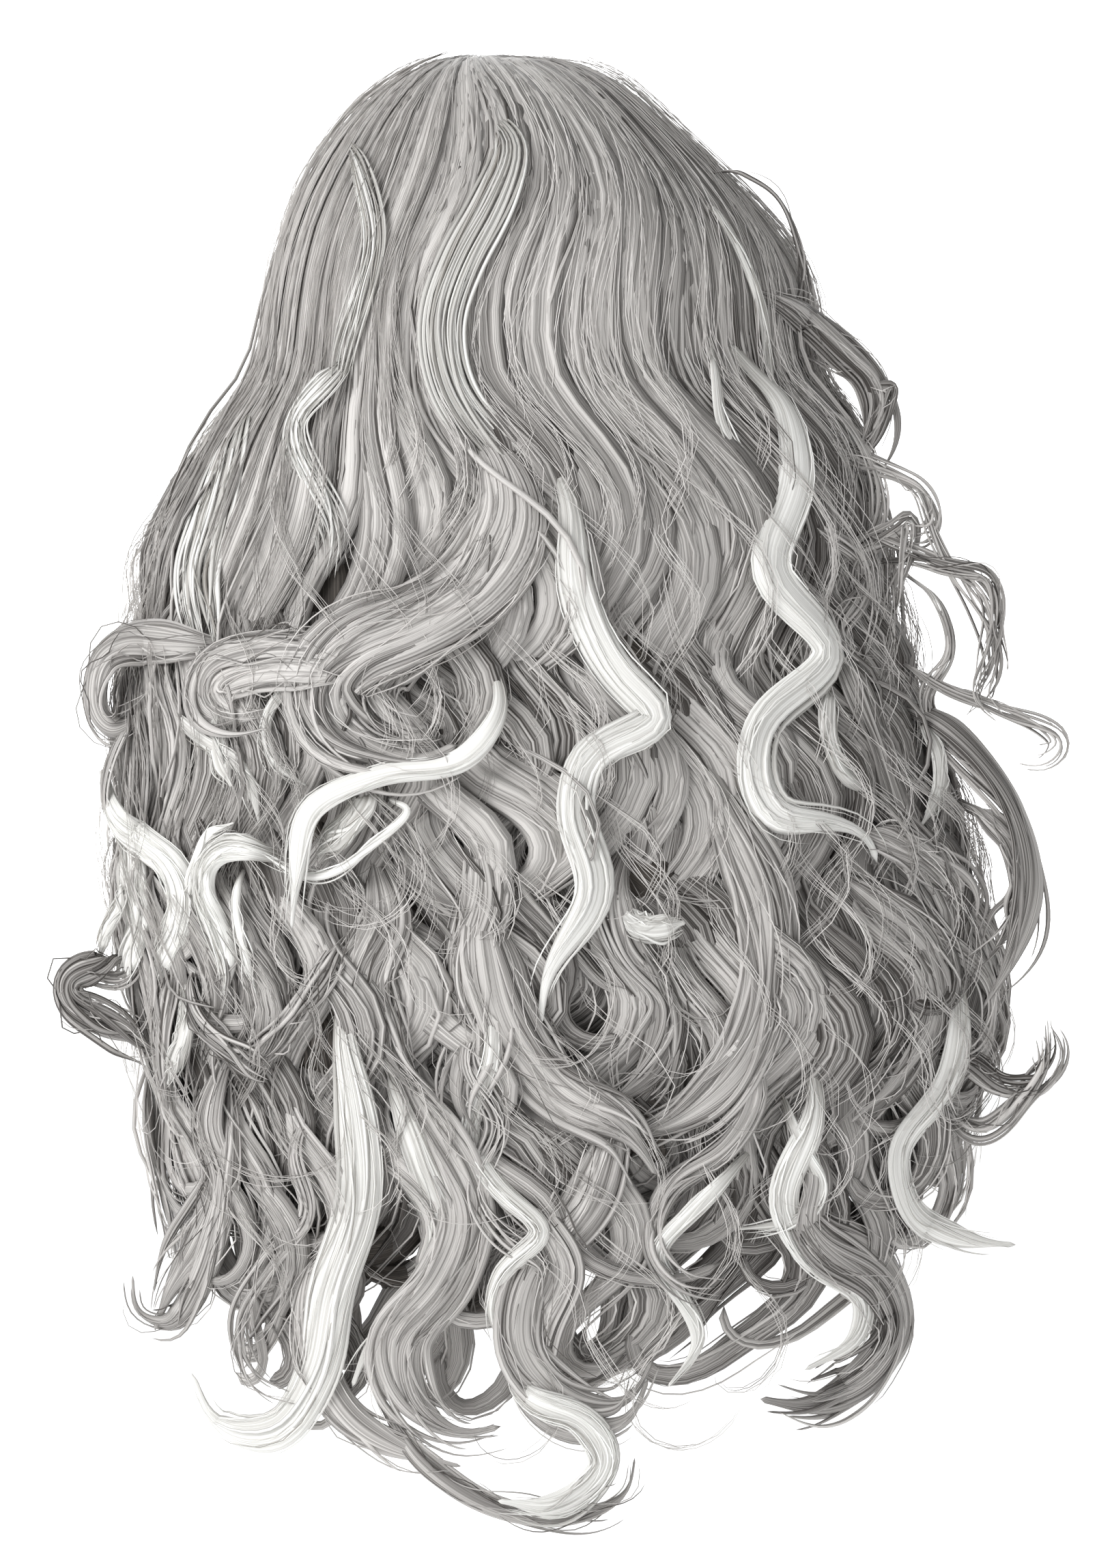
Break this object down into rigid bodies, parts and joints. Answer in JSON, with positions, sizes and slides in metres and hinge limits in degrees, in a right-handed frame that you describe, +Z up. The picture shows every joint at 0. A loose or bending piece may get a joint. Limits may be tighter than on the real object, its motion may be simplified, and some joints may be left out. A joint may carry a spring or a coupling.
{
  "type": "wig",
  "caption": "Long wavy silver-grey costume wig on an open cap, with a combed crown, back and side falls of curled locks, and paler locks that glow in the dark.",
  "frame": {"origin": "the point inside the top of the cap where the crown of the wearer's head bears", "axes": "+Z up along the upright head, +Y forwards to the face opening, +X to the wearer's right; the hair falls towards -Z"},
  "size_m": [0.4432, 0.2396, 0.6727],
  "materials": {
    "cap_net": "matt elastic cap net",
    "grey_fibre": "satin synthetic hair fibre in silver grey",
    "glow_fibre": "satin near-white fibre that glows in the dark after light has charged it"
  },
  "bodies": {
    "root": {"cap": "cap_net", "crown_hair": "grey_fibre", "back_fall": "grey_fibre", "left_fall": "grey_fibre", "right_fall": "grey_fibre", "glow_lock_01": "glow_fibre", "glow_lock_02": "glow_fibre", "glow_lock_03": "glow_fibre", "glow_lock_04": "glow_fibre", "glow_lock_05": "glow_fibre", "glow_lock_06": "glow_fibre", "glow_lock_07": "glow_fibre", "glow_lock_08": "glow_fibre", "glow_lock_09": "glow_fibre", "glow_lock_10": "glow_fibre", "glow_lock_11": "glow_fibre", "glow_lock_12": "glow_fibre", "glow_lock_13": "glow_fibre", "glow_lock_14": "glow_fibre", "glow_lock_15": "glow_fibre"}
  },
  "joints": []
}
